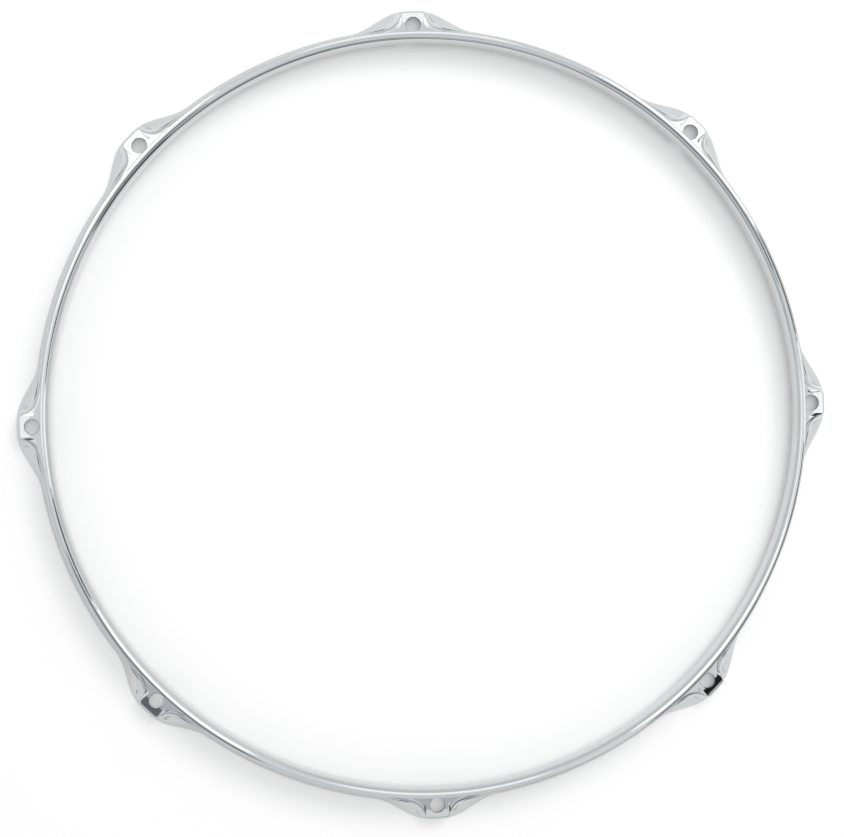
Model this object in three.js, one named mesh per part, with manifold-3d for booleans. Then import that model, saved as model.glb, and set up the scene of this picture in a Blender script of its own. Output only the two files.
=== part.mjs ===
// A drum hoop: one steel strip, rolled into a ring, butt-welded and pressed, then chrome plated.
// Its section has a lip turned out at the top, an upright collar, a shelf, a skirt and a flared foot.
// At eight places the shelf and skirt are pressed outward into ears, each with a plain hole for a rod.
// The hoop lies flat on its foot, +Z is up, and the origin is on the hoop's axis at the foot.
// Every zone of the pressing is a mesh of its own, and neighbouring zones meet face to face.
import * as THREE from 'three';
import Module from 'manifold-3d';
import { mergeVertices } from 'three/addons/utils/BufferGeometryUtils.js';

const wasm = await Module();
wasm.setup();

// Sizes of the whole hoop, in millimetres
const sheet = 2.3;
const hoopHeight = 24;
const openingRadius = 182.6;
const shelfHeight = 12.7;
const pocketDepth = 4.9;
const earCount = 8;

// The top lip: its bend, its droop past level and its rounded edge
const lipBendRadius = 0.9;
const lipStraight = 0.3;
const lipEdgeBulge = 0.5;
const lipDroop = THREE.MathUtils.degToRad(15);

// The bends of the shelf and the skirt
const collarBendRadius = 1.2;
const shoulderRadius = 2.6;
const pocketCornerRadius = 0.5;

// The flared foot: the height of its root and of its edge, and the flat land it rests on
const footWidth = 2.7;
const footRootHeight = 4.4;
const footEdgeHeight = 1.7;
const footBendRadius = 2.5;
const heelRadius = 3.8;
const landWidth = 1;

// The rod holes and the metal left round them
const rodHoleRadius = 3.7;
const rodStandoff = 2.6;
const rodRimChamfer = 0.5;
const frontMargin = 2.9;
const sideMargin = 2.2;

// The ears: how much wider their foot is than their pad, and how far they spread along the hoop
const frontLean = 0.7;
const flankSpread = 2.5;
const frontFootWidth = 1.5;
const earHalfSpan = 33;
const footFadeStart = 3;
const footFadeEnd = 31;
const flankFadeStart = 18;

// How steeply a flank falls away, and how square its front corner is
const padFallPower = 2.64;
const padCornerPower = 3;
const footFallPower = 1.85;
const footCornerPower = 4;

// The inside of an ear is narrower than its outside by these shares of the sheet at each side
const padWallShare = 0.57;
const footWallShare = 0.78;

// A corner's rounding takes at most this share of the straight run beside it
const cornerRunShare = 0.45;

// The butt weld that closes the strip, halfway along one stretch of skirt
const weldWidth = 1.2;
const weldedSkirt = 5;

// Faces along the curves
const ringSteps = 72;
const skirtSteps = 5;
const bendSteps = 3;
const lipSteps = 3;
const cornerSteps = 2;
const holeSides = 24;
const earStepShares = [0, 0.09, 0.145, 0.18, 0.22, 0.26, 0.32, 0.41, 0.545, 0.74, 1];
const cutOverrun = 1;

// Places worked out from the sizes above
const collarOuterRadius = openingRadius + sheet;
const shelfStartRadius = collarOuterRadius + collarBendRadius;
const collarBendTop = shelfHeight + collarBendRadius;
const lipOuterBend = lipBendRadius + sheet;
const lipBase = hoopHeight - lipOuterBend;
const pocketHeight = shelfHeight - sheet;
const skirtInnerRadius = openingRadius + pocketDepth;
const skirtOuterRadius = skirtInnerRadius + sheet;
const rodCircleRadius = skirtOuterRadius + rodStandoff;
const padReach = rodStandoff + rodHoleRadius + frontMargin;
const padHalfWidth = rodHoleRadius + sideMargin;
const footReach = padReach + frontLean;
const footHalfWidth = padHalfWidth + flankSpread;
const footEdgeRise = footReach + frontFootWidth - footWidth;
const earPitch = 2 * Math.PI / earCount;
const earHalfAngle = earHalfSpan / rodCircleRadius;
const weldHalfAngle = weldWidth / (2 * rodCircleRadius);
const weldAngle = (weldedSkirt - 0.5) * earPitch;

const chrome = new THREE.MeshStandardMaterial({ color: 0xc7cacb, metalness: 1, roughness: 0.08 });
const weldMetal = new THREE.MeshStandardMaterial({ color: 0xc3c6c7, metalness: 1, roughness: 0.14 });

function spot(radius, height) {
  return new THREE.Vector2(radius, height);
}

// Goes from 1 to 0 between two distances, level at both ends.
function fade(distance, start, end) {
  return 1 - THREE.MathUtils.smoothstep(distance, start, end);
}

// How far an ear stands out at a distance to the side of its hole: full at the front, then falling
// away as a power of the distance, and gone at the ear's end.
function earBulge(aside, reach, halfWidth, fallPower, cornerPower) {
  const fall = Math.pow(aside / halfWidth, fallPower * cornerPower);
  return reach * Math.pow(1 + fall, -1 / cornerPower) * fade(aside, flankFadeStart, earHalfSpan);
}

function padBulge(aside, halfWidth) {
  return earBulge(aside, padReach, halfWidth, padFallPower, padCornerPower);
}

function footBulge(aside, halfWidth) {
  return earBulge(aside, footReach, halfWidth, footFallPower, footCornerPower);
}

// The foot's edge follows a wide bell from ear to ear.
function footEdgeBulge(aside) {
  const along = THREE.MathUtils.clamp((aside - footFadeStart) / (footFadeEnd - footFadeStart), 0, 1);
  return footEdgeRise * (1 + Math.cos(Math.PI * along)) / 2;
}

// The points of an arc in the section, turning from one angle to another.
function arc(centreRadius, centreHeight, radius, fromAngle, toAngle, steps) {
  const points = [];
  for (let step = 0; step <= steps; step += 1) {
    const angle = fromAngle + (toAngle - fromAngle) * step / steps;
    points.push(spot(centreRadius + radius * Math.cos(angle), centreHeight + radius * Math.sin(angle)));
  }
  return points;
}

// Rounds the corner between two straight runs of the section.
function roundedCorner(before, corner, after, radius, steps) {
  const toBefore = before.clone().sub(corner);
  const toAfter = after.clone().sub(corner);
  const halfTurn = (Math.PI - toBefore.angleTo(toAfter)) / 2;
  const run = Math.min(
    radius * Math.tan(halfTurn),
    toBefore.length() * cornerRunShare,
    toAfter.length() * cornerRunShare,
  );
  const start = corner.clone().add(toBefore.setLength(run));
  const end = corner.clone().add(toAfter.setLength(run));
  return new THREE.QuadraticBezierCurve(start, corner, end).getPoints(steps);
}

// The lip's outline, from the collar's outer face round the lip to the collar's inner face.
function lipOutline() {
  const bendCentre = collarOuterRadius + lipBendRadius;
  const endAngle = Math.PI / 2 - lipDroop;
  const underside = arc(bendCentre, lipBase, lipBendRadius, Math.PI, endAngle, cornerSteps);
  const crown = [
    ...arc(bendCentre, lipBase, lipOuterBend, endAngle, Math.PI / 2, 1),
    ...arc(bendCentre, lipBase, lipOuterBend, Math.PI / 2, Math.PI, lipSteps).slice(1),
  ];
  const along = spot(Math.cos(lipDroop), -Math.sin(lipDroop)).multiplyScalar(lipStraight);
  const lowerEdge = underside.at(-1).clone().add(along);
  const upperEdge = crown[0].clone().add(along);
  const bulge = along.clone().setLength(lipEdgeBulge);
  const edgeMiddle = lowerEdge.clone().add(upperEdge).divideScalar(2).add(bulge);
  return [...underside, lowerEdge, edgeMiddle, upperEdge, ...crown];
}

// The upright collar, between the shelf's bend and the lip.
function collarOutline() {
  return [
    spot(openingRadius, collarBendTop),
    spot(collarOuterRadius, collarBendTop),
    spot(collarOuterRadius, lipBase),
    spot(openingRadius, lipBase),
  ];
}

// Shelf, skirt and foot at a distance to the side of the nearest rod hole. It starts and ends at
// the collar, and goes out along the underside and back along the outside.
function lowerOutline(aside) {
  const shoulder = spot(skirtOuterRadius + padBulge(aside, padHalfWidth), shelfHeight);
  const footRoot = spot(skirtOuterRadius + footBulge(aside, footHalfWidth), footRootHeight);
  const edgeRadius = skirtOuterRadius + footWidth + footEdgeBulge(aside);
  const footEdge = spot(edgeRadius, footEdgeHeight);
  const innerPad = padBulge(aside, padHalfWidth - padWallShare * sheet);
  const innerFoot = footBulge(aside, footHalfWidth - footWallShare * sheet);
  const pocketCorner = spot(skirtInnerRadius + innerPad, pocketHeight);
  const heel = spot(skirtInnerRadius + innerFoot, 0);
  const heelRounding = Math.min(heelRadius, edgeRadius - heel.x - landWidth);
  const shelfRun = spot(shelfStartRadius, shelfHeight);
  const pocketRun = spot(shelfStartRadius, pocketHeight);
  const bendOuterRadius = collarBendRadius + sheet;
  return [
    ...arc(shelfStartRadius, collarBendTop, bendOuterRadius, Math.PI, 1.5 * Math.PI, bendSteps),
    ...roundedCorner(pocketRun, pocketCorner, heel, pocketCornerRadius, 1),
    ...roundedCorner(pocketCorner, heel, spot(edgeRadius + footWidth, 0), heelRounding, cornerSteps),
    spot(edgeRadius, 0),
    footEdge,
    ...roundedCorner(footEdge, footRoot, shoulder, footBendRadius, cornerSteps),
    ...roundedCorner(footRoot, shoulder, shelfRun, shoulderRadius, bendSteps),
    ...arc(shelfStartRadius, collarBendTop, collarBendRadius, 1.5 * Math.PI, Math.PI, cornerSteps),
  ];
}

// Sweeps an outline round the hoop's axis through a list of angles, into one closed body.
function sweep(angles, outlineAt) {
  const outlines = angles.map(outlineAt);
  const count = outlines[0].length;
  const positions = [];
  outlines.forEach((outline, index) => {
    for (const point of outline) {
      positions.push(point.x * Math.cos(angles[index]), point.x * Math.sin(angles[index]), point.y);
    }
  });
  const faces = [];
  for (let step = 0; step + 1 < angles.length; step += 1) {
    for (let corner = 0; corner < count; corner += 1) {
      const next = (corner + 1) % count;
      const near = step * count;
      const far = near + count;
      faces.push(near + corner, far + corner, far + next);
      faces.push(near + corner, far + next, near + next);
    }
  }
  const last = (angles.length - 1) * count;
  for (const [first, second, third] of THREE.ShapeUtils.triangulateShape(outlines[0], [])) {
    faces.push(first, second, third);
  }
  for (const [first, second, third] of THREE.ShapeUtils.triangulateShape(outlines.at(-1), [])) {
    faces.push(last + first, last + third, last + second);
  }
  const geometry = new THREE.BufferGeometry();
  geometry.setAttribute('position', new THREE.Float32BufferAttribute(positions, 3));
  geometry.setIndex(faces);
  geometry.computeVertexNormals();
  return geometry;
}

function evenAngles(from, to, steps) {
  return Array.from({ length: steps + 1 }, (_, step) => from + (to - from) * step / steps);
}

// The angles of an ear's sections, close together where its flanks are steep.
function earAngles(middle) {
  const ahead = earStepShares.map((share) => middle + share * earHalfAngle);
  const behind = earStepShares.slice(1).map((share) => middle - share * earHalfAngle);
  return [...behind.reverse(), ...ahead];
}

// Turns a closed geometry into a solid for cutting, and back.
function toSolid(geometry) {
  const bare = geometry.clone();
  bare.deleteAttribute('normal');
  bare.deleteAttribute('uv');
  const merged = mergeVertices(bare);
  return new wasm.Manifold(new wasm.Mesh({
    numProp: 3,
    vertProperties: new Float32Array(merged.attributes.position.array),
    triVerts: new Uint32Array(merged.index.array),
  }));
}

function toGeometry(solid) {
  const mesh = solid.getMesh();
  const geometry = new THREE.BufferGeometry();
  geometry.setAttribute('position', new THREE.BufferAttribute(mesh.vertProperties, 3));
  geometry.setIndex(new THREE.BufferAttribute(mesh.triVerts, 1));
  geometry.computeVertexNormals();
  return geometry;
}

// The punch for a rod hole: a straight hole whose upper rim is eased.
function rodPunch(middle) {
  const rimRadius = rodHoleRadius + rodRimChamfer;
  const profile = [
    spot(0, pocketHeight - cutOverrun),
    spot(rodHoleRadius, pocketHeight - cutOverrun),
    spot(rodHoleRadius, shelfHeight - rodRimChamfer),
    spot(rimRadius, shelfHeight),
    spot(rimRadius, shelfHeight + cutOverrun),
    spot(0, shelfHeight + cutOverrun),
  ];
  const punch = new THREE.LatheGeometry(profile, holeSides);
  punch.rotateX(Math.PI / 2);
  punch.translate(rodCircleRadius * Math.cos(middle), rodCircleRadius * Math.sin(middle), 0);
  return toSolid(punch);
}

function earGeometry(middle) {
  const outlineAt = (angle) => lowerOutline(Math.abs(angle - middle) * rodCircleRadius);
  const pressing = toSolid(sweep(earAngles(middle), outlineAt));
  return toGeometry(pressing.subtract(rodPunch(middle)));
}

function addPiece(parent, name, geometry, material) {
  const piece = new THREE.Mesh(geometry, material);
  piece.name = name;
  parent.add(piece);
}

const hoop = new THREE.Group();

// The two zones that run unbroken round the hoop, from one side of the weld to the other
const strip = evenAngles(weldAngle + weldHalfAngle, weldAngle + 2 * Math.PI - weldHalfAngle, ringSteps);
addPiece(hoop, 'top_lip', sweep(strip, lipOutline), chrome);
addPiece(hoop, 'collar', sweep(strip, collarOutline), chrome);

// The ears, and the stretches of shelf, skirt and foot between them
const ears = new THREE.Group();
const skirts = new THREE.Group();
const plainOutline = () => lowerOutline(earHalfSpan);
for (let number = 1; number <= earCount; number += 1) {
  const middle = (number - 1) * earPitch;
  addPiece(ears, `ear_${number}`, earGeometry(middle), chrome);
  const from = middle + earHalfAngle;
  const to = middle + earPitch - earHalfAngle;
  if (number === weldedSkirt) {
    const toWeld = evenAngles(from, weldAngle - weldHalfAngle, skirtSteps);
    const fromWeld = evenAngles(weldAngle + weldHalfAngle, to, skirtSteps);
    addPiece(skirts, `skirt_${number}a`, sweep(toWeld, plainOutline), chrome);
    addPiece(skirts, `skirt_${number}b`, sweep(fromWeld, plainOutline), chrome);
  } else {
    addPiece(skirts, `skirt_${number}`, sweep(evenAngles(from, to, skirtSteps), plainOutline), chrome);
  }
}
hoop.add(ears, skirts);

// The weld fills the whole section between the strip's two ends
const weldSpan = evenAngles(weldAngle - weldHalfAngle, weldAngle + weldHalfAngle, 1);
const wholeSection = () => [...plainOutline(), ...lipOutline()];
addPiece(hoop, 'butt_weld', sweep(weldSpan, wholeSection), weldMetal);

export default hoop;
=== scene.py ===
"""A chrome-plated drum hoop, lying lip up on a white table in a soft studio.

The hoop is one strip of steel. Its whole surface is worked out as a single fine grid of points round the
ring and round the section, and each named zone of the pressing takes its own rows and columns of it, with
the normals of the whole strip, so that the zones meet without a seam.
"""

import math

import bpy
import numpy as np
from mathutils import Matrix, Vector


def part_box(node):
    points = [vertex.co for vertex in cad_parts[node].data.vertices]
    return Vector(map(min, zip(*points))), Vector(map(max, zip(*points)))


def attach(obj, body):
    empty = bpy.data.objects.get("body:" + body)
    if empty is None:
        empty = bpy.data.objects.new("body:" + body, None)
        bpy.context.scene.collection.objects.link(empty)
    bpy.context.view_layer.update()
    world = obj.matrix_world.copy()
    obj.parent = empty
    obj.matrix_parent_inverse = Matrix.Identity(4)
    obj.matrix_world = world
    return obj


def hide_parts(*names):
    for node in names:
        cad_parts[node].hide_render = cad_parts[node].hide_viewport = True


bl_info = {
    "name": "Drum Hoop",
    "version": (1, 0, 0),
    "blender": (4, 5, 0),
    "location": "3D View > Sidebar > Drum Hoop",
    "description": "Builds a pressed and chrome-plated drum hoop with eight ears, and a studio for it",
    "category": "Add Mesh",
}

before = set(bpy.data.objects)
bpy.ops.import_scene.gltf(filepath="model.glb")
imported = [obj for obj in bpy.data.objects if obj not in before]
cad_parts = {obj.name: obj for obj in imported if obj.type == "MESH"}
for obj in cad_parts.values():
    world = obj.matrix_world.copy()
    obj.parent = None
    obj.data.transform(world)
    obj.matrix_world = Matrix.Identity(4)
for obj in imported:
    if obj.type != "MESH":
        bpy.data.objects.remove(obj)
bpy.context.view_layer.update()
LIP_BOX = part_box("top_lip")
EAR_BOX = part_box("ear_1")
FULL_TURN = 2 * math.pi

# The ring: eight ears, and the weld halfway along the fifth stretch of skirt
EAR_COUNT = 8
WELDED_SKIRT = 5

# Steps round the ring: from an ear's middle past its flank, on to its end, along a skirt, and round the lip
FLANK_SPAN_SHARE = 0.4
FLANK_STEPS = 40
TAIL_STEPS = 20
SKIRT_STEPS = 20
RING_STEPS = 480

# Steps along the curves of the section
BEND_STEPS = 8
POCKET_STEPS = 4
HEEL_STEPS = 6
EDGE_STEPS = 5
FOOT_STEPS = 10
FOOT_RUN_STEPS = 5
FLANK_RUN_STEPS = 5
SHOULDER_STEPS = 16
SHELF_STEPS = 16
WALL_STEPS = 3
LIP_DROOP_STEPS = 5
LIP_CROWN_STEPS = 22

# How steeply a flank falls away, how square its front corner is, and how much narrower its inside is
PAD_FALL_POWER = 2.64
PAD_CORNER_POWER = 5.0
FOOT_FALL_POWER = 2.6
FOOT_CORNER_POWER = 4.0
PAD_WALL_SHARE = 0.57
FOOT_WALL_SHARE = 0.78

# The shares of a straight run that its roundings may take up: at any corner, on the foot, and on the flank
CORNER_RUN_SHARE = 0.45
FOOT_CROWN_SHARE = 0.84
FLANK_BEND_SHARE = 0.7

# How far a pad's sides go on rolling off, as a share of the way from where they start to the pad's side
SIDE_ROLL_MOST = 1.6

# How far apart two places are where a slope is measured, and the shortest length that a vector counts for
SLOPE_STEP = 1e-6
TURN_STEP = 1e-5
SHORTEST = 1e-12

# The punch that makes a rod hole
PUNCH_SIDES = 96
PUNCH_RIM_STEPS = 6
PUNCH_RIM_TURN = math.radians(85)

# How much duller the plate is over the weld and on the wall of a rod hole, and how far from the hole's
# middle that wall reaches, as a share of the hole's radius. Over that reach the wall is also painted
# near-black: painted shade for the shadowed table under the ear that the wall mirrors. Its dullness is its
# own.
WELD_DULLER = 1.6
WALL_DULLER = 7.0
WALL_REACH_SHARE = 1.03

# The plate's clouds of tint, its fine haze, and the gentle waves of pressed steel under it
TINT_CLOUDS = {"Scale": 28.0, "Detail": 3.0, "Roughness": 0.5}
PLATE_HAZE = {"Scale": 160.0, "Detail": 4.0, "Roughness": 0.6}
STEEL_WAVES = {"Scale": 90.0, "Detail": 2.0, "Roughness": 0.4}
WAVE_DEPTH = {"Strength": 0.35, "Distance": 0.0001}
HAZE_RANGE = (0.35, 0.75)
HAZE_DULLER = 2.2

# The table: the steps round its rim, the tooth of its paper, and how dark the tooth's hollows are
TABLE_STEPS = 120
PAPER_TOOTH = {"Scale": 40.0, "Detail": 3.0}
HOLLOW_SHARE = 0.99


def length(name, description, default):
    """A size in metres that a user can change."""
    return bpy.props.FloatProperty(
        name=name, description=description, default=default, unit="LENGTH", precision=5
    )


def angle(name, description, degrees):
    """An angle that a user can change."""
    return bpy.props.FloatProperty(
        name=name, description=description, default=math.radians(degrees), subtype="ANGLE"
    )


def power(name, description, default):
    """A lamp's power in watts that a user can change."""
    return bpy.props.FloatProperty(name=name, description=description, default=default, min=0, unit="POWER")


def colour(name, description, default):
    """A colour that a user can change."""
    return bpy.props.FloatVectorProperty(
        name=name, description=description, default=default, size=3, min=0, subtype="COLOR"
    )


class HoopSizes(bpy.types.PropertyGroup):
    """The driving sizes of the pressed strip."""

    hoop_height: length("Height", "From the table to the top of the lip", LIP_BOX[1].z)
    opening_radius: length("Opening radius", "From the axis to the collar's inner face", 0.1826)
    sheet: length("Sheet", "Thickness of the steel strip", 0.0023)
    shelf_height: length("Shelf height", "From the table to the top of the shelf", 0.0127)
    pocket_depth: length("Pocket depth", "From the collar's inner face to the skirt's", 0.0049)
    lip_bend_radius: length("Lip bend", "Inside radius of the bend under the lip", 0.0009)
    lip_straight: length("Lip straight", "Straight run of the lip past its bend", 0.0003)
    lip_edge_bulge: length("Lip edge", "How far the lip's rounded edge stands out", 0.0005)
    lip_droop: angle("Lip droop", "How far the lip's edge droops below level", 15)
    collar_bend_radius: length("Collar bend", "Inside radius of the bend above the shelf", 0.0012)
    shoulder_radius: length("Shoulder", "Rounding from the shelf down to the skirt", 0.0026)
    pad_shoulder_radius: length("Pad shoulder", "Rounding from an ear's pad down to its flank", 0.0008)
    crown_reach: length("Crown reach", "How far behind its front an ear's pad starts to roll off", 0.0066)
    crown_drop: length("Crown drop", "How far an ear's pad has rolled off at its front", 0.00087)
    crown_side: length("Crown side", "How far from its middle an ear's pad starts to roll off", 0.005)
    crown_side_drop: length("Crown side drop", "How far an ear's pad has rolled off at its side", 0.00008)
    crown_side_fade: length("Crown side fade", "From the skirt to where the side's roll-off is full", 0.0056)
    pocket_corner_radius: length("Pocket corner", "Rounding inside the shelf's corner", 0.0005)
    foot_width: length("Foot width", "How far the foot flares past the skirt", 0.0027)
    foot_slope: angle("Foot slope", "Slope of the foot where the skirt runs out into it", 54)
    foot_edge_height: length("Foot edge", "Height of the corner that the foot's edge is cut from", 0.0015)
    foot_edge_rounding: length("Foot edge rounding", "Rounding of the foot's lower edge", 0.0005)
    foot_crown_radius: length("Foot crown", "Rounding of the foot's upper edge", 0.009)
    foot_bend_radius: length("Foot bend", "Rounding from the skirt out to the foot", 0.02)
    heel_radius: length("Heel", "Rounding under the foot", 0.0038)
    land_width: length("Land", "Width of the flat land that the foot rests on", 0.001)
    rod_hole_radius: length("Rod hole", "Radius of the hole for a tension rod", 0.0037)
    rod_standoff: length("Rod standoff", "From the skirt to the middle of a rod hole", 0.0026)
    rod_rim_radius: length("Hole rim", "Rounding of a rod hole's upper rim", 0.0003)
    front_margin: length("Front margin", "Metal in front of a rod hole", 0.0029)
    side_margin: length("Side margin", "Metal beside a rod hole", 0.0022)
    front_lean: length("Front lean", "How far an ear's front leans out at its foot", 0.0007)
    flank_spread: length("Flank spread", "How much wider an ear is at its foot, on each side", 0.0025)
    ear_reach: length("Ear reach", "From the axis to the foot's edge in front of an ear", EAR_BOX[1].x)
    ear_half_span: length("Ear half span", "From an ear's middle to where it has faded out", 0.033)
    foot_fade_start: length("Foot fade start", "Where the foot's edge starts to draw in", 0.003)
    foot_fade_end: length("Foot fade end", "Where the foot's edge has drawn in", 0.031)
    flank_fade_start: length("Flank fade start", "Where an ear's flank starts to fade", 0.018)
    weld_width: length("Weld width", "Width of the weld that closes the strip", 0.0012)


class HoopFinish(bpy.types.PropertyGroup):
    """The chrome plate's colour and polish, and the painted shade on the rod holes' walls."""

    chrome_colour: colour("Chrome", "Colour of the chrome plate", (0.612, 0.622, 0.624))
    chrome_cool: colour("Chrome, cool", "The plate's colour where it is a shade bluer", (0.585, 0.602, 0.610))
    weld_colour: colour("Weld", "Colour of the plate over the weld", (0.580, 0.592, 0.597))
    # Painted shade: a near-black colour on a rod hole's wall, standing in for the shadowed table under the
    # ear that the wall mirrors
    hole_wall_painted_shade: colour("Hole wall", "Colour of the thin plate on a rod hole's wall", (0.10, 0.10, 0.105))
    polish: bpy.props.FloatProperty(
        name="Polish",
        description="Roughness of the plate where it is brightest",
        default=0.035,
        min=0,
        max=1,
        subtype="FACTOR",
    )


class StudioSettings(bpy.types.PropertyGroup):
    """The table, the light and the camera."""

    table_colour: colour("Table", "Colour of the table", (0.97, 0.97, 0.97))
    table_radius: length("Table radius", "Radius of the round table", 0.85)
    table_glow: bpy.props.FloatProperty(
        name="Table glow", description="How much brighter than its light the table is", default=0.09, min=0
    )
    ambient: bpy.props.FloatProperty(
        name="Ambient", description="Strength of the even light from all round", default=0.56, min=0
    )
    key_power: power("Key power", "Power of the soft box to the side", 9.0)
    key_size: length("Key size", "Side of the soft box to the side", 0.8)
    key_azimuth: angle("Key azimuth", "Bearing of the soft boxes, from the right of the picture", 55)
    key_tilt: angle("Key tilt", "How far the soft box to the side is tilted from straight overhead", 30)
    top_power: power("Top power", "Power of the soft box overhead", 7.2)
    top_size: length("Top size", "Side of the soft box overhead", 0.5)
    top_tilt: angle("Top tilt", "How far the soft box overhead is tilted from straight overhead", 4)
    lamp_distance: length("Lamp distance", "From the hoop's middle to either soft box", 1.8)
    camera_height: length("Camera height", "Height of the camera above the table", 1.05)
    camera_aside: length("Camera aside", "How far the camera stands to the right of the axis", -0.05397)
    camera_up: length("Camera up", "How far the camera stands up the picture from the axis", -0.0017)
    camera_turn: angle("Camera turn", "How far the camera is turned about its line of sight", 1.776)
    camera_pitch: angle("Camera pitch", "How far the camera is tipped up the picture", 0.006)
    camera_yaw: angle("Camera yaw", "How far the camera is swung to the right", 2.888)
    lens: bpy.props.FloatProperty(
        name="Lens", description="Focal length in mm", default=89.97, min=1, unit="CAMERA"
    )


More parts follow.
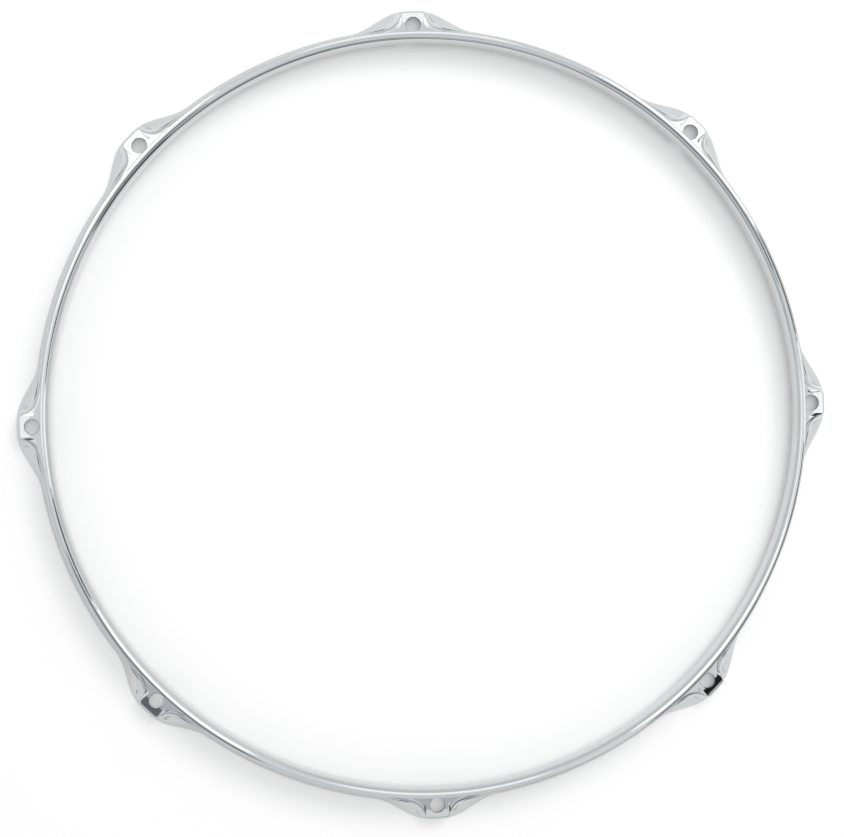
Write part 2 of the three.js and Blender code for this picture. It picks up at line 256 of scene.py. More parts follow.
class StripShape:
    """Sizes worked out from the driving sizes."""

    def __init__(self, sizes):
        self.sizes = sizes
        self.lip_base = sizes.hoop_height - sizes.lip_bend_radius - sizes.sheet
        self.bend_top = sizes.shelf_height + sizes.collar_bend_radius
        self.collar_outer = sizes.opening_radius + sizes.sheet
        self.shelf_start = self.collar_outer + sizes.collar_bend_radius
        self.pocket_height = sizes.shelf_height - sizes.sheet
        self.skirt_inner = sizes.opening_radius + sizes.pocket_depth
        self.skirt_outer = self.skirt_inner + sizes.sheet
        self.rod_circle = self.skirt_outer + sizes.rod_standoff
        self.pad_reach = sizes.rod_standoff + sizes.rod_hole_radius + sizes.front_margin
        self.pad_half_width = sizes.rod_hole_radius + sizes.side_margin
        self.foot_reach = self.pad_reach + sizes.front_lean
        self.foot_half_width = self.pad_half_width + sizes.flank_spread
        self.foot_edge_rise = sizes.ear_reach - self.skirt_outer - sizes.foot_width
        self.pad_front = self.skirt_outer + self.pad_reach
        self.crown_start = self.pad_front - sizes.crown_reach
        self.ear_pitch = FULL_TURN / EAR_COUNT
        self.ear_half_angle = sizes.ear_half_span / self.rod_circle
        self.weld_half_angle = sizes.weld_width / (2 * self.rod_circle)
        self.weld_angle = (WELDED_SKIRT - 0.5) * self.ear_pitch

    def bulge(self, aside, reach, half_width, fall_power, corner_power):
        """How far an ear stands out at a distance to the side of its hole."""
        fall = (np.abs(aside) / half_width) ** (fall_power * corner_power)
        fading = fade(np.abs(aside), self.sizes.flank_fade_start, self.sizes.ear_half_span)
        return reach * (1 + fall) ** (-1 / corner_power) * fading

    def pad_bulge(self, aside, narrower=0.0):
        """How far a pad's edge stands out from the skirt."""
        half_width = self.pad_half_width - narrower
        return self.bulge(aside, self.pad_reach, half_width, PAD_FALL_POWER, PAD_CORNER_POWER)

    def foot_bulge(self, aside, narrower=0.0):
        """How far the line where the foot starts stands out from the skirt."""
        half_width = self.foot_half_width - narrower
        return self.bulge(aside, self.foot_reach, half_width, FOOT_FALL_POWER, FOOT_CORNER_POWER)

    def foot_edge(self, aside):
        """The foot's outer edge, which stands out in a wide bell at each ear."""
        start = self.sizes.foot_fade_start
        end = self.sizes.foot_fade_end
        along = np.clip((np.abs(aside) - start) / (end - start), 0, 1)
        bell = (1 + np.cos(np.pi * along)) / 2
        return self.skirt_outer + self.sizes.foot_width + self.foot_edge_rise * bell

    def foot_root(self, aside):
        """Where the skirt runs out into the foot, higher where the foot is wider."""
        radius = self.skirt_outer + self.foot_bulge(aside)
        run = (self.foot_edge(aside) - radius) / steepness(self.foot_bulge, aside)
        return spot(radius, self.sizes.foot_edge_height + run * math.tan(self.sizes.foot_slope))

    def shoulder(self, aside):
        """From the top of the flank over its shoulder and the pad's soft front to the shelf."""
        sizes = self.sizes
        pad = self.pad_bulge(aside)
        pad_share = pad / self.pad_reach
        flank_top = self.skirt_outer + pad
        flank_height = sizes.shelf_height - self.foot_root(aside)[..., 1]
        flank_lean = (self.foot_bulge(aside) - pad) / flank_height
        tighter = (sizes.pad_shoulder_radius - sizes.shoulder_radius) * np.sqrt(pad_share)
        radius = sizes.shoulder_radius + tighter
        stretch = steepness(self.pad_bulge, aside)
        points = []
        for step in range(SHOULDER_STEPS + 1):
            turn = math.pi / 2 * (1 - step / SHOULDER_STEPS)
            drop = radius * (1 - math.cos(turn))
            inward = radius * (1 - math.sin(turn)) * stretch
            points.append(spot(flank_top + flank_lean * drop - inward, sizes.shelf_height - drop))
        shelf_end = spot(self.shelf_start + 0 * aside, sizes.shelf_height)
        points.extend(between(points[-1], shelf_end, SHELF_STEPS))
        for point in points:
            self.roll_off(point, aside)
        return points

    def roll_off(self, point, aside):
        """Lowers a point of a pad towards the pad's front and sides."""
        sizes = self.sizes
        side_width = self.pad_half_width - sizes.crown_side
        past_front = np.maximum(point[..., 0] - self.crown_start, 0) / sizes.crown_reach
        past_side = np.clip((np.abs(aside) - sizes.crown_side) / side_width, 0, SIDE_ROLL_MOST)
        forward = 1 - fade(point[..., 0] - self.skirt_outer, 0, sizes.crown_side_fade)
        point[..., 1] -= sizes.crown_drop * past_front**2
        point[..., 1] -= sizes.crown_side_drop * forward * past_side**2

    def lower_outline(self, aside):
        """Foot, skirt and shelf, from the collar's inner face round to its outer face."""
        sizes = self.sizes
        pad_corner = spot(self.skirt_outer + self.pad_bulge(aside), sizes.shelf_height)
        foot_root = self.foot_root(aside)
        edge = self.foot_edge(aside)
        inner_pad = self.pad_bulge(aside, PAD_WALL_SHARE * sizes.sheet)
        inner_foot = self.foot_bulge(aside, FOOT_WALL_SHARE * sizes.sheet)
        pocket_corner = spot(self.skirt_inner + inner_pad, self.pocket_height)
        heel = spot(self.skirt_inner + inner_foot, 0)
        heel_rounding = np.minimum(sizes.heel_radius, edge - heel[..., 0] - sizes.land_width)
        pocket_run = spot(self.shelf_start + 0 * aside, self.pocket_height)
        edge_foot = spot(edge, 0)
        edge_top = spot(edge, sizes.foot_edge_height)
        outer_bend = sizes.collar_bend_radius + sizes.sheet
        middle = (self.shelf_start, self.bend_top)
        stretch = steepness(self.foot_bulge, aside)
        crown = sizes.foot_crown_radius
        crown_most = (FOOT_CROWN_SHARE, FOOT_CROWN_SHARE)
        bend = sizes.foot_bend_radius
        bend_most = (1 - FOOT_CROWN_SHARE, FLANK_BEND_SHARE)
        edge_curve = rounded(edge_foot, edge_top, foot_root, crown, FOOT_STEPS, 1.0, crown_most)
        root_curve = rounded(edge_top, foot_root, pad_corner, bend, FOOT_STEPS, stretch, bend_most)
        shoulder = self.shoulder(aside)
        return [
            *arc(aside, middle, outer_bend, math.pi, 1.5 * math.pi, BEND_STEPS),
            *rounded(pocket_run, pocket_corner, heel, sizes.pocket_corner_radius, POCKET_STEPS),
            *rounded(pocket_corner, heel, edge_foot, heel_rounding, HEEL_STEPS),
            *rounded(heel, edge_foot, edge_top, sizes.foot_edge_rounding, EDGE_STEPS),
            *edge_curve,
            *between(edge_curve[-1], root_curve[0], FOOT_RUN_STEPS),
            *root_curve,
            *between(root_curve[-1], shoulder[0], FLANK_RUN_STEPS),
            *shoulder,
            *arc(aside, middle, sizes.collar_bend_radius, 1.5 * math.pi, math.pi, BEND_STEPS),
        ]

    def lip_outline(self, aside):
        """The lip, from the collar's outer face round its edge and crown to the collar's inner face."""
        sizes = self.sizes
        middle = (self.collar_outer + sizes.lip_bend_radius, self.lip_base)
        outer_bend = sizes.lip_bend_radius + sizes.sheet
        end = math.pi / 2 - sizes.lip_droop
        along = np.array((math.cos(sizes.lip_droop), -math.sin(sizes.lip_droop)))
        across = np.array((math.sin(sizes.lip_droop), math.cos(sizes.lip_droop)))
        underside = arc(aside, middle, sizes.lip_bend_radius, math.pi, end, BEND_STEPS)
        crown = [
            *arc(aside, middle, outer_bend, end, math.pi / 2, LIP_DROOP_STEPS),
            *arc(aside, middle, outer_bend, math.pi / 2, math.pi, LIP_CROWN_STEPS)[1:],
        ]
        edge_middle = underside[-1] + along * sizes.lip_straight + across * sizes.sheet / 2
        edge = []
        for step in range(2 * EDGE_STEPS + 1):
            turn = math.pi * (step / (2 * EDGE_STEPS) - 0.5)
            out = along * sizes.lip_edge_bulge * math.cos(turn)
            edge.append(edge_middle + out + across * (sizes.sheet / 2) * math.sin(turn))
        return [*underside, *edge, *crown]


def fade(distance, start, end):
    """Goes from 1 to 0 between two distances, level at both ends."""
    share = np.clip((distance - start) / (end - start), 0, 1)
    return 1 - share * share * (3 - 2 * share)


def spot(radius, height):
    """Points of the section, one for each angle round the hoop."""
    radius = np.asarray(radius, float)
    return np.stack([radius, np.full_like(radius, height)], axis=-1)


def steepness(bulge, aside):
    """How much longer than its width an outline is at a place: 1 where it runs straight round the hoop."""
    rise = bulge(aside + SLOPE_STEP) - bulge(aside - SLOPE_STEP)
    return np.hypot(1, rise / (2 * SLOPE_STEP))


def between(first, second, steps):
    """Points along a straight run, without its two ends."""
    return [first + (second - first) * step / steps for step in range(1, steps)]


def arc(aside, middle, radius, start, end, steps):
    """An arc of the section, the same at every angle round the hoop."""
    points = []
    for step in range(steps + 1):
        turn = start + (end - start) * step / steps
        out = middle[0] + radius * math.cos(turn)
        points.append(spot(out + 0 * aside, middle[1] + radius * math.sin(turn)))
    return points


def rounded(before, corner, after, radius, steps, stretch=1.0, most=(CORNER_RUN_SHARE, CORNER_RUN_SHARE)):
    """A fillet between two straight runs of the section, stretched along the first one.

    It takes up no more than a given share of each run.
    """
    to_before = before - corner
    to_after = after - corner
    run_before = np.linalg.norm(to_before, axis=-1)
    run_after = np.linalg.norm(to_after, axis=-1)
    cosine = np.sum(to_before * to_after, axis=-1) / (run_before * run_after)
    half_turn = (np.pi - np.arccos(np.clip(cosine, -1, 1))) / 2
    run = radius * np.tan(half_turn)
    share_before = np.minimum(run * stretch / run_before, most[0])
    share_after = np.minimum(run / run_after, most[1])
    start = corner + to_before * share_before[..., None]
    end = corner + to_after * share_after[..., None]
    weight = np.cos(half_turn)[..., None]
    points = []
    for step in range(steps + 1):
        share = step / steps
        near = (1 - share) ** 2
        mid = 2 * share * (1 - share) * weight
        far = share**2
        points.append((near * start + mid * corner + far * end) / (near + mid + far))
    return points


def ear_angles(shape):
    """The angles from an ear's start to its end, from its middle, closer together on its flanks."""
    half = shape.ear_half_angle
    flank_end = FLANK_SPAN_SHARE * half
    flank = np.linspace(0, flank_end, FLANK_STEPS + 1)
    tail = np.linspace(flank_end, half, TAIL_STEPS + 1)
    ahead = np.concatenate([flank, tail[1:]])
    return np.concatenate([-ahead[:0:-1], ahead])


def ring_zones(shape):
    """The angles at which each zone has its rows: {name: angles}."""
    zones = {}
    before = shape.weld_angle + shape.weld_half_angle
    end = shape.weld_angle + FULL_TURN - shape.weld_half_angle
    zones["ring"] = np.linspace(before, end, RING_STEPS + 1)
    zones["butt_weld"] = np.array([end - FULL_TURN, before])
    for turn in range(EAR_COUNT):
        number = (WELDED_SKIRT + turn) % EAR_COUNT + 1
        middle = (WELDED_SKIRT + turn) * shape.ear_pitch
        skirt = (number - 2) % EAR_COUNT + 1
        name = f"skirt_{skirt}b" if turn == 0 else f"skirt_{skirt}"
        zones[name] = np.linspace(before, middle - shape.ear_half_angle, SKIRT_STEPS + 1)
        zones[f"ear_{number}"] = middle + ear_angles(shape)
        before = middle + shape.ear_half_angle
    zones[f"skirt_{WELDED_SKIRT}a"] = np.linspace(before, end, SKIRT_STEPS + 1)
    return zones


class PressedStrip:
    """The whole surface of the strip, by angle round the ring and by column round the section."""

    def __init__(self, sizes):
        self.shape = StripShape(sizes)
        self.angles = ring_zones(self.shape)
        lower, outer_wall, lip, inner_wall = self.outline_parts(np.zeros(1))
        lip_start = len(lower) + len(outer_wall)
        lip_end = lip_start + len(lip)
        count = lip_end + len(inner_wall)
        self.columns = {
            "lower": np.arange(len(lower)),
            "lip": np.arange(lip_start, lip_end),
            "collar": np.array([*range(len(lower) - 1, lip_start + 1), *range(lip_end - 1, count), 0]),
            "whole": np.arange(count),
        }

    def outline_parts(self, angles):
        """The section's foot to shelf, outer wall, lip and inner wall, at some angles."""
        pitch = self.shape.ear_pitch
        aside = np.abs((angles + pitch / 2) % pitch - pitch / 2) * self.shape.rod_circle
        lower = self.shape.lower_outline(np.minimum(aside, self.shape.sizes.ear_half_span))
        lip = self.shape.lip_outline(aside)
        outer_wall = between(lower[-1], lip[0], WALL_STEPS)
        inner_wall = between(lip[-1], lower[0], WALL_STEPS)
        return lower, outer_wall, lip, inner_wall

    def surface(self, angles):
        """Points of the whole section at some angles."""
        section = np.stack([point for part in self.outline_parts(angles) for point in part], axis=1)
        across = section[..., 0] * np.cos(angles)[:, None]
        up = section[..., 0] * np.sin(angles)[:, None]
        return np.stack([across, up, section[..., 1]], axis=-1)

    def zone(self, rows, columns):
        """Points, normals and which column steps are skin, for one zone."""
        angles = self.angles[rows]
        points = self.surface(angles)
        round_ring = self.surface(angles + TURN_STEP) - self.surface(angles - TURN_STEP)
        round_section = np.roll(points, -1, axis=1) - np.roll(points, 1, axis=1)
        normals = unit(np.cross(unit(round_ring), unit(round_section)))
        picked = self.columns[columns]
        is_skin = np.diff(picked, append=picked[0]) % points.shape[1] == 1
        return points[:, picked], normals[:, picked], is_skin


def unit(vectors):
    """Vectors of length 1 in the same directions."""
    return vectors / np.maximum(np.linalg.norm(vectors, axis=-1, keepdims=True), SHORTEST)


def solid(name, points, normals, is_skin):
    """A closed solid from rows of closed outlines. Its corners keep the skin's own normals."""
    rows, columns = points.shape[:2]
    index = np.arange(rows * columns).reshape(rows, columns)
    following = np.roll(index, -1, axis=1)
    quads = np.stack([index[:-1], index[1:], following[1:], following[:-1]], axis=-1)
    corner_normals = normals.reshape(-1, 3)[quads]
    flat_points = points.reshape(-1, 3)
    corners = flat_points[quads[:, ~is_skin]]
    first_diagonal = corners[..., 2, :] - corners[..., 0, :]
    second_diagonal = corners[..., 3, :] - corners[..., 1, :]
    cut_normals = unit(np.cross(first_diagonal, second_diagonal))
    corner_normals[:, ~is_skin] = cut_normals[..., None, :]
    caps = [index[0].tolist(), index[-1][::-1].tolist()]
    cap_normals = [np.tile(polygon_normal(flat_points[cap]), (columns, 1)) for cap in caps]
    mesh = bpy.data.meshes.new(name)
    mesh.from_pydata(flat_points.tolist(), [], [*quads.reshape(-1, 4).tolist(), *caps])
    every_normal = np.concatenate([corner_normals.reshape(-1, 3), *cap_normals])
    attribute = mesh.attributes.new("skin_normal", "FLOAT_VECTOR", "CORNER")
    attribute.data.foreach_set("vector", every_normal.astype(np.float32).ravel())
    piece = bpy.data.objects.new(name, mesh)
    bpy.context.scene.collection.objects.link(piece)
    return piece


def polygon_normal(corners):
    """The normal of a flat outline of any shape."""
    return unit(np.cross(corners, np.roll(corners, -1, axis=0)).sum(axis=0))


def show_skin_normals(piece):
    """Shades a piece with the normals that its corners keep."""
    mesh = piece.data
    attribute = mesh.attributes["skin_normal"]
    values = np.empty(len(mesh.loops) * 3, np.float32)
    attribute.data.foreach_get("vector", values)
    mesh.attributes.remove(attribute)
    mesh.shade_smooth()
    mesh.normals_split_custom_set(unit(values.reshape(-1, 3)).tolist())


def rod_punch(shape, middle):
    """The punch for one rod hole: a straight shank that widens into a rounded rim at the top."""
    sizes = shape.sizes
    overrun = sizes.sheet
    rim = sizes.rod_rim_radius
    profile = [(sizes.rod_hole_radius, shape.pocket_height - overrun)]
    for step in range(PUNCH_RIM_STEPS + 1):
        turn = PUNCH_RIM_TURN * step / PUNCH_RIM_STEPS
        radius = sizes.rod_hole_radius + rim * (1 - math.cos(turn))
        profile.append((radius, sizes.shelf_height - rim + rim * math.sin(turn)))
    last_radius, last_height = profile[-1]
    profile.append((last_radius + rim, last_height + rim / math.tan(PUNCH_RIM_TURN) + rim))
    profile = np.array(profile)
    turns = np.linspace(0, FULL_TURN, PUNCH_SIDES, endpoint=False)
    around = np.stack([np.cos(turns), np.sin(turns)], axis=-1)
    points = np.empty((len(profile), PUNCH_SIDES, 3))
    points[..., :2] = profile[:, None, :1] * around
    points[..., 2] = profile[:, 1:]
    points[..., 0] += shape.rod_circle * math.cos(middle)
    points[..., 1] += shape.rod_circle * math.sin(middle)
    slope = np.gradient(profile, axis=0)
    normals = np.empty_like(points)
    normals[..., :2] = slope[:, None, 1:] * around
    normals[..., 2] = -slope[:, :1]
    return solid("rod_punch", points[::-1], -unit(normals)[::-1], np.ones(PUNCH_SIDES, bool))


def punch_hole(piece, shape, turn):
    """Punches an ear's rod hole, keeps the normals, and gives the hole's wall the second material.

    That material's near-black colour is painted shade, for the shadowed table under the ear that the wall
    mirrors.
    """
    punch = rod_punch(shape, turn)
    middle = shape.rod_circle * Vector((math.cos(turn), math.sin(turn)))
    painted_shade_radius = shape.sizes.rod_hole_radius * WALL_REACH_SHARE
    cut = piece.modifiers.new("Rod hole", "BOOLEAN")
    cut.object = punch
    cut.operation = "DIFFERENCE"
    cut.solver = "MANIFOLD"
    evaluated = piece.evaluated_get(bpy.context.evaluated_depsgraph_get())
    mesh = bpy.data.meshes.new_from_object(evaluated)
    piece.modifiers.clear()
    piece.data = mesh
    bpy.data.objects.remove(punch)
    mesh.materials.clear()
    # The faces of the hole's wall take the second material: painted shade, near-black for the shadowed table
    # that the wall mirrors
    for face in mesh.polygons:
        if (face.center.xy - middle).length < painted_shade_radius:
            face.material_index = 1


def add_node(tree, kind, inputs=None, **settings):
    """Adds a node to a tree, with its settings, and links or sets its inputs."""
    node = tree.nodes.new(kind)
    for name, value in settings.items():
        setattr(node, name, value)
    for socket, value in (inputs or {}).items():
        if isinstance(value, bpy.types.NodeSocket):
            tree.links.new(value, node.inputs[socket])
        else:
            node.inputs[socket].default_value = value
    return node


def calculate(tree, operation, first, second=0.0):
    """A Math node's result."""
    return add_node(tree, "ShaderNodeMath", {0: first, 1: second}, operation=operation).outputs[0]


def mix_colour(tree, share, first, second):
    """A colour between two others. The Mix node has sockets for other kinds too, which are left alone."""
    inputs = {"Factor": share, "A": first, "B": second}
    node = tree.nodes.new("ShaderNodeMix")
    node.data_type = "RGBA"
    for socket in node.inputs:
        if not socket.enabled or socket.name not in inputs:
            continue
        value = inputs[socket.name]
        if isinstance(value, bpy.types.NodeSocket):
            tree.links.new(value, socket)
        else:
            socket.default_value = value
    return next(socket for socket in node.outputs if socket.enabled)


def opaque(rgb):
    """A colour with its fourth number, as the nodes want it."""
    return (*rgb, 1.0)


def noise(tree, place, pattern):
    """A Noise node's grey values."""
    return add_node(tree, "ShaderNodeTexNoise", {"Vector": place, **pattern}).outputs["Fac"]


def chrome_material(name, plate_colour, cool_colour, polish):
    """Polished chrome plate: a faint change of tint and polish, and the gentle waves of pressed steel."""
    material = bpy.data.materials.new(name)
    material.use_nodes = True
    tree = material.node_tree
    shader = tree.nodes["Principled BSDF"]
    shader.inputs["Metallic"].default_value = 1.0
    place = add_node(tree, "ShaderNodeTexCoord").outputs["Object"]
    tint = mix_colour(tree, noise(tree, place, TINT_CLOUDS), opaque(plate_colour), opaque(cool_colour))
    tree.links.new(tint, shader.inputs["Base Color"])
    inputs = {
        "Value": noise(tree, place, PLATE_HAZE),
        "From Min": HAZE_RANGE[0],
        "From Max": HAZE_RANGE[1],
        "To Min": polish,
        "To Max": polish * HAZE_DULLER,
    }
    roughness = add_node(tree, "ShaderNodeMapRange", inputs).outputs["Result"]
    tree.links.new(roughness, shader.inputs["Roughness"])
    waves = noise(tree, place, STEEL_WAVES)
    bump = add_node(tree, "ShaderNodeBump", {"Height": waves, **WAVE_DEPTH}).outputs["Normal"]
    tree.links.new(bump, shader.inputs["Normal"])
    return material


def finish_piece(piece, nodes, slot_name, *materials):
    """Dresses a piece, seats it on the frame and lets it stand for its CAD nodes."""
    for material in materials:
        piece.data.materials.append(material)
    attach(piece, "root")
    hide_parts(*nodes)


def plate_material(context, name, plate_colour, duller):
    """A material of the plate, made once. Its clouds are as much bluer as those of the plain plate."""
    finish = context.scene.hoop_finish
    bluer = [cool / plain for cool, plain in zip(finish.chrome_cool, finish.chrome_colour)]
    cool_colour = [share * part for share, part in zip(bluer, plate_colour)]
    found = bpy.data.materials.get(name)
    return found or chrome_material(name, plate_colour, cool_colour, finish.polish * duller)


def add_zone(context, strip, name, rows, columns):
    """One zone of the strip as a piece of its own."""
    piece = solid(f"{name}_chromed", *strip.zone(rows, columns))
    finish = context.scene.hoop_finish
    plate = plate_material(context, "polished_chrome", finish.chrome_colour, 1.0)
    if name == "butt_weld":
        show_skin_normals(piece)
        weld_plate = plate_material(context, "ground_weld_chrome", finish.weld_colour, WELD_DULLER)
        finish_piece(piece, [name], "weld_chrome", weld_plate)
    elif name.startswith("ear_"):
        turn = (int(name.removeprefix("ear_")) - 1) * strip.shape.ear_pitch
        punch_hole(piece, strip.shape, turn)
        show_skin_normals(piece)
        # The rod hole's wall gets painted shade: a near-black plate for the shadowed table under the ear that
        # it mirrors
        wall = plate_material(context, "punched_wall_painted_shade", finish.hole_wall_painted_shade, WALL_DULLER)
        finish_piece(piece, [name], "chrome_plate", plate, wall)
    else:
        show_skin_normals(piece)
        finish_piece(piece, [name], "chrome_plate", plate)


class DRUMHOOP_OT_lip(bpy.types.Operator):
    """Add the flange turned out at the top of the hoop"""

    bl_idname = "drumhoop.lip"
    bl_label = "Add Top Lip"

    def execute(self, context):
        add_zone(context, PressedStrip(context.scene.hoop_sizes), "top_lip", "ring", "lip")
        return {"FINISHED"}


class DRUMHOOP_OT_collar(bpy.types.Operator):
    """Add the upright collar under the lip"""

    bl_idname = "drumhoop.collar"
    bl_label = "Add Collar"

    def execute(self, context):
        add_zone(context, PressedStrip(context.scene.hoop_sizes), "collar", "ring", "collar")
        return {"FINISHED"}


class DRUMHOOP_OT_ears(bpy.types.Operator):
    """Add the eight ears, each with its punched rod hole"""

    bl_idname = "drumhoop.ears"
    bl_label = "Add Ears"

    def execute(self, context):
        strip = PressedStrip(context.scene.hoop_sizes)
        for name in strip.angles:
            if name.startswith("ear_"):
                add_zone(context, strip, name, name, "lower")
        return {"FINISHED"}


class DRUMHOOP_OT_skirts(bpy.types.Operator):
    """Add the stretches of shelf, skirt and foot between the ears"""

    bl_idname = "drumhoop.skirts"
    bl_label = "Add Skirts"

    def execute(self, context):
        strip = PressedStrip(context.scene.hoop_sizes)
        for name in strip.angles:
            if name.startswith("skirt_"):
                add_zone(context, strip, name, name, "lower")
        return {"FINISHED"}


class DRUMHOOP_OT_weld(bpy.types.Operator):
    """Add the butt weld that closes the strip"""

    bl_idname = "drumhoop.weld"
    bl_label = "Add Weld"

    def execute(self, context):
        add_zone(context, PressedStrip(context.scene.hoop_sizes), "butt_weld", "butt_weld", "whole")
        return {"FINISHED"}


# What the chrome mirrors overhead. The camera's mirror image in a level pad is the middle of this sky. Each
# patch lies between two azimuths and two tilts from that middle, in degrees, with the softness of its sides
# and of its ends, and a colour. A later patch covers an earlier one.
SKY_MIDDLE = (0.051, 0.0016, 1.0)
WALL_COLOUR = (0.985, 1.0, 1.0)
SKY_PATCHES = {
    "low_walls": (-181, 181, 47, 93, 1, 8, (0.82, 0.83, 0.83)),
    "pale_low_walls": (18, 64, 47, 93, 10, 8, (0.98, 0.98, 0.97)),
    "cool_low_walls": (190, 300, 47, 93, 12, 8, (0.66, 0.69, 0.73)),
    "dim_room_bottom": (272, 314, 45, 88, 8, 5, (0.50, 0.51, 0.51)),
    "dark_skirting": (212, 345, 78, 93, 12, 4, (0.34, 0.34, 0.35)),
    "dark_step": (284, 312, 74, 93, 8, 4, (0.08, 0.08, 0.09)),
    "ceiling_glow": (74, 106, 15, 40, 6, 3, (1.50, 1.50, 1.50)),
    "side_glow": (-13, 11, 15, 40, 5, 3, (1.50, 1.50, 1.50)),
    "left_glow": (162, 184, 15, 38, 5, 3, (1.38, 1.38, 1.38)),
    "bottom_glow": (258, 300, 15, 32, 6, 3, (1.00, 1.00, 1.00)),
    "cool_ceiling": (205, 290, 8, 20, 8, 4, (0.64, 0.67, 0.71)),
    "soft_box_right": (28, 60, 0, 38.5, 3, 1.5, (1.9, 1.9, 1.9)),
    "soft_box_left": (124, 162, 0, 31, 5, 2, (1.75, 1.75, 1.75)),
    "soft_box_left_end": (121, 150, 28, 39, 3, 1.5, (2.4, 2.4, 2.4)),
    "overhead_glow": (-181, 181, -10, 6, 1, 1.5, (1.12, 1.12, 1.12)),
    "dark_room_left": (200, 243, 17, 38, 5, 1.5, (0.19, 0.195, 0.215)),
    "dark_room_right": (305, 354, 19, 34.5, 3, 1.5, (0.02, 0.02, 0.02)),
    "dark_doorway": (312, 330, 44, 92, 4, 3, (0.17, 0.17, 0.18)),
    "boom": (10, 27, -2, 30, 2, 2, (0.22, 0.22, 0.23)),
}


def patch_reach(tree, value, start, end, softness):
    """1 between two values, and 0 well outside them."""
    off_middle = calculate(tree, "ABSOLUTE", calculate(tree, "SUBTRACT", value, (start + end) / 2))
    inputs = {
        "Value": off_middle,
        "From Min": (end - start - softness) / 2,
        "From Max": (end - start + softness) / 2,
        "To Min": 1.0,
        "To Max": 0.0,
    }
    node = add_node(tree, "ShaderNodeMapRange", inputs, interpolation_type="SMOOTHSTEP")
    return node.outputs["Result"]


def sky_patch(tree, azimuth, tilt, sides, ends, softness):
    """1 inside a patch of the sky, and 0 outside it."""
    middle = math.radians(sum(sides) / 2)
    half = math.radians(sides[1] - sides[0]) / 2
    turned = calculate(tree, "SUBTRACT", azimuth, middle)
    nearest = add_node(tree, "ShaderNodeMath", {0: turned, 1: math.pi, 2: -math.pi}, operation="WRAP")
    across = patch_reach(tree, nearest.outputs[0], -half, half, math.radians(softness[0]))
    along = patch_reach(tree, tilt, math.radians(ends[0]), math.radians(ends[1]), math.radians(softness[1]))
    return calculate(tree, "MULTIPLY", across, along)


def seen_ray(tree):
    """1 for rays that show something to the eye, straight or mirrored, and 0 for rays that light it."""
    light_path = add_node(tree, "ShaderNodeLightPath").outputs
    mirrored = calculate(tree, "MAXIMUM", light_path["Is Glossy Ray"], light_path["Is Transmission Ray"])
    return calculate(tree, "MAXIMUM", light_path["Is Camera Ray"], mirrored)


def studio_sky(ambient, backdrop):
    """An even soft light, a plain wall behind the table, and the room that the chrome mirrors."""
    world = bpy.data.worlds.new("studio_sky")
    world.use_nodes = True
    tree = world.node_tree
    look = add_node(tree, "ShaderNodeTexCoord").outputs["Generated"]
    upward = Vector(SKY_MIDDLE).normalized()
    rightward = Vector((upward.z, 0, -upward.x)).normalized()
    parts = []
    for axis in (rightward, upward.cross(rightward), upward):
        along = add_node(tree, "ShaderNodeVectorMath", {0: look, 1: axis}, operation="DOT_PRODUCT")
        parts.append(along.outputs["Value"])
    azimuth = calculate(tree, "ARCTAN2", parts[1], parts[0])
    tilt = calculate(tree, "ARCCOSINE", parts[2])
    sky = opaque(WALL_COLOUR)
    for first_side, last_side, near, far, soft_side, soft_end, patch_colour in SKY_PATCHES.values():
        inside = sky_patch(tree, azimuth, tilt, (first_side, last_side), (near, far), (soft_side, soft_end))
        sky = mix_colour(tree, inside, sky, opaque(patch_colour))
    straight = add_node(tree, "ShaderNodeLightPath").outputs["Is Camera Ray"]
    sky = mix_colour(tree, straight, sky, opaque(backdrop))
    even = tree.nodes["Background"]
    even.inputs["Color"].default_value = opaque((1, 1, 1))
    even.inputs["Strength"].default_value = ambient
    room = add_node(tree, "ShaderNodeBackground", {"Color": sky})
    mixed = tree.nodes.new("ShaderNodeMixShader")
    tree.links.new(seen_ray(tree), mixed.inputs[0])
    tree.links.new(even.outputs[0], mixed.inputs[1])
    tree.links.new(room.outputs[0], mixed.inputs[2])
    tree.links.new(mixed.outputs[0], tree.nodes["World Output"].inputs["Surface"])
    bpy.context.scene.world = world


def table_material(table_colour, glow):
    """Matt white paper with a very fine tooth, which the eye sees a little brighter than it is."""
    material = bpy.data.materials.new("table_paper")
    material.use_nodes = True
    tree = material.node_tree
    tree.nodes.remove(tree.nodes["Principled BSDF"])
    place = add_node(tree, "ShaderNodeTexCoord").outputs["Object"]
    hollows = [HOLLOW_SHARE * part for part in table_colour]
    paper = mix_colour(tree, noise(tree, place, PAPER_TOOTH), opaque(table_colour), opaque(hollows))
    matt = add_node(tree, "ShaderNodeBsdfDiffuse", {"Color": paper})
    strength = calculate(tree, "MULTIPLY", seen_ray(tree), glow)
    lit = add_node(tree, "ShaderNodeEmission", {"Color": paper, "Strength": strength})
    both = tree.nodes.new("ShaderNodeAddShader")
    tree.links.new(matt.outputs[0], both.inputs[0])
    tree.links.new(lit.outputs[0], both.inputs[1])
    tree.links.new(both.outputs[0], tree.nodes["Material Output"].inputs["Surface"])
    return material


def add_lamp(name, settings, side, watts, tilt):
    """A square soft box that faces the hoop's middle. The chrome mirrors the painted sky in its stead."""
    lamp = bpy.data.lights.new(name, "AREA")
    lamp.size = side
    lamp.energy = watts
    holder = bpy.data.objects.new(name, lamp)
    holder.visible_glossy = False
    aim = Matrix.Rotation(settings.key_azimuth, 3, "Z") @ Matrix.Rotation(tilt, 3, "Y")
    place = aim @ Vector((0, 0, settings.lamp_distance))
    holder.matrix_world = Matrix.Translation(place) @ aim.to_4x4()
    bpy.context.scene.collection.objects.link(holder)


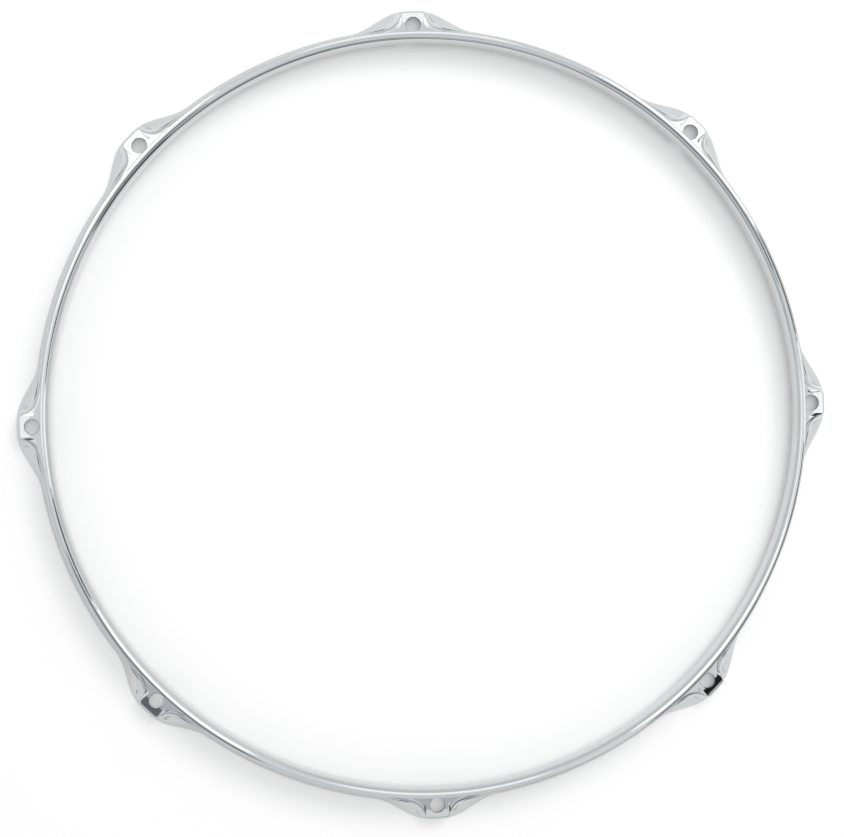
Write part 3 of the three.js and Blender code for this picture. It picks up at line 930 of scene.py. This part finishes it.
def add_table(settings):
    """A round table of white paper, whose top is at the height of the hoop's foot."""
    turns = np.linspace(0, FULL_TURN, TABLE_STEPS, endpoint=False)
    radius = settings.table_radius
    rim = [(radius * math.cos(turn), radius * math.sin(turn), 0) for turn in turns]
    mesh = bpy.data.meshes.new("table")
    mesh.from_pydata(rim, [], [range(TABLE_STEPS)])
    mesh.materials.append(table_material(settings.table_colour, settings.table_glow))
    table = bpy.data.objects.new("table", mesh)
    bpy.context.scene.collection.objects.link(table)


def add_camera(settings):
    """The camera, which looks down on the hoop from a little to the left of its axis."""
    lens = bpy.data.cameras.new("camera")
    lens.lens = settings.lens
    camera = bpy.data.objects.new("camera", lens)
    bpy.context.scene.collection.objects.link(camera)
    turned = (
        Matrix.Rotation(settings.camera_turn, 3, "Z")
        @ Matrix.Rotation(settings.camera_pitch, 3, "X")
        @ Matrix.Rotation(settings.camera_yaw, 3, "Y")
    ).transposed()
    place = Vector((settings.camera_aside, settings.camera_up, settings.camera_height))
    camera.matrix_world = Matrix.Translation(place) @ turned.to_4x4()
    bpy.context.scene.camera = camera


class DRUMHOOP_OT_studio(bpy.types.Operator):
    """Add the table, the studio light and the camera"""

    bl_idname = "drumhoop.studio"
    bl_label = "Add Studio"

    def execute(self, context):
        settings = context.scene.hoop_studio
        add_table(settings)
        studio_sky(settings.ambient, settings.table_colour)
        add_lamp("key_soft_box", settings, settings.key_size, settings.key_power, settings.key_tilt)
        add_lamp("top_soft_box", settings, settings.top_size, settings.top_power, settings.top_tilt)
        add_camera(settings)
        context.scene.view_settings.view_transform = "Standard"
        return {"FINISHED"}


class DRUMHOOP_PT_panel(bpy.types.Panel):
    """The hoop's pieces, in the order in which they are added"""

    bl_idname = "DRUMHOOP_PT_panel"
    bl_label = "Drum Hoop"
    bl_space_type = "VIEW_3D"
    bl_region_type = "UI"
    bl_category = "Drum Hoop"

    def draw(self, context):
        for operator in PIECE_OPERATORS:
            self.layout.operator(operator.bl_idname)
        for settings in (context.scene.hoop_sizes, context.scene.hoop_finish, context.scene.hoop_studio):
            box = self.layout.box()
            for name in settings.bl_rna.properties.keys():
                if name not in ("rna_type", "name"):
                    box.prop(settings, name)


PIECE_OPERATORS = (
    DRUMHOOP_OT_studio,
    DRUMHOOP_OT_lip,
    DRUMHOOP_OT_collar,
    DRUMHOOP_OT_ears,
    DRUMHOOP_OT_skirts,
    DRUMHOOP_OT_weld,
)
CLASSES = (HoopSizes, HoopFinish, StudioSettings, *PIECE_OPERATORS, DRUMHOOP_PT_panel)


def register():
    """Makes the classes and their settings known."""
    for each in CLASSES:
        bpy.utils.register_class(each)
    bpy.types.Scene.hoop_sizes = bpy.props.PointerProperty(type=HoopSizes)
    bpy.types.Scene.hoop_finish = bpy.props.PointerProperty(type=HoopFinish)
    bpy.types.Scene.hoop_studio = bpy.props.PointerProperty(type=StudioSettings)


def unregister():
    """Takes the classes and their settings away again."""
    del bpy.types.Scene.hoop_studio
    del bpy.types.Scene.hoop_finish
    del bpy.types.Scene.hoop_sizes
    for each in reversed(CLASSES):
        bpy.utils.unregister_class(each)


def main():
    """Builds the studio and the hoop."""
    register()
    bpy.ops.drumhoop.studio()
    bpy.ops.drumhoop.lip()
    bpy.ops.drumhoop.collar()
    bpy.ops.drumhoop.ears()
    bpy.ops.drumhoop.skirts()
    bpy.ops.drumhoop.weld()


if __name__ == "__main__":
    main()
